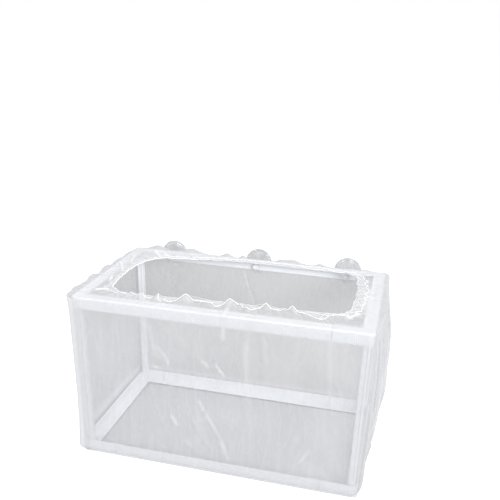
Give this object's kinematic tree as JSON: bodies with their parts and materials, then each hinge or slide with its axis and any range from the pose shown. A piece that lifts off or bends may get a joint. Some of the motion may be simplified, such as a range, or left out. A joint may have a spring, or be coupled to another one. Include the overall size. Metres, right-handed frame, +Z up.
{
  "type": "fish breeding box",
  "caption": "Rectangular fish fry isolation box: white L-section ring frame with corner posts in a fine net bag with an elastic mouth, hung by suction cups on the back.",
  "frame": {"origin": "middle of the frame's footprint, on the underside of the net floor", "axes": "+X along the long side to the right, -Y the front, +Y the back with the suction cups, +Z up"},
  "size_m": [0.2823, 0.1656, 0.1685],
  "materials": {
    "frame_plastic": "moulded white plastic, satin gloss",
    "clear_vinyl": "clear soft vinyl, glossy",
    "net": "fine white nylon mesh, see-through",
    "elastic": "white elastic thread"
  },
  "bodies": {
    "frame": {"top_end_left": "frame_plastic", "top_end_right": "frame_plastic", "top_rail_front": "frame_plastic", "top_rail_back": "frame_plastic", "bottom_end_left": "frame_plastic", "bottom_end_right": "frame_plastic", "bottom_rail_front": "frame_plastic", "bottom_rail_back": "frame_plastic", "post_front_left": "frame_plastic", "post_front_right": "frame_plastic", "post_back_left": "frame_plastic", "post_back_right": "frame_plastic", "net_front": "net", "net_back": "net", "net_left": "net", "net_right": "net", "net_floor": "net", "net_collar": "net", "mouth_elastic": "elastic"},
    "cup_left": {"suction_cup_left": "clear_vinyl"},
    "cup_middle": {"suction_cup_middle": "clear_vinyl"},
    "cup_right": {"suction_cup_right": "clear_vinyl"}
  },
  "joints": [
    {"name": "cup_left_turn", "type": "hinge", "parent": "frame", "child": "cup_left", "pos_m": [-0.094, 0.075, 0.1545], "axis": [0, 1, 0], "continuous": true},
    {"name": "cup_middle_turn", "type": "hinge", "parent": "frame", "child": "cup_middle", "pos_m": [0, 0.075, 0.1545], "axis": [0, 1, 0], "continuous": true},
    {"name": "cup_right_turn", "type": "hinge", "parent": "frame", "child": "cup_right", "pos_m": [0.094, 0.075, 0.1545], "axis": [0, 1, 0], "continuous": true}
  ]
}
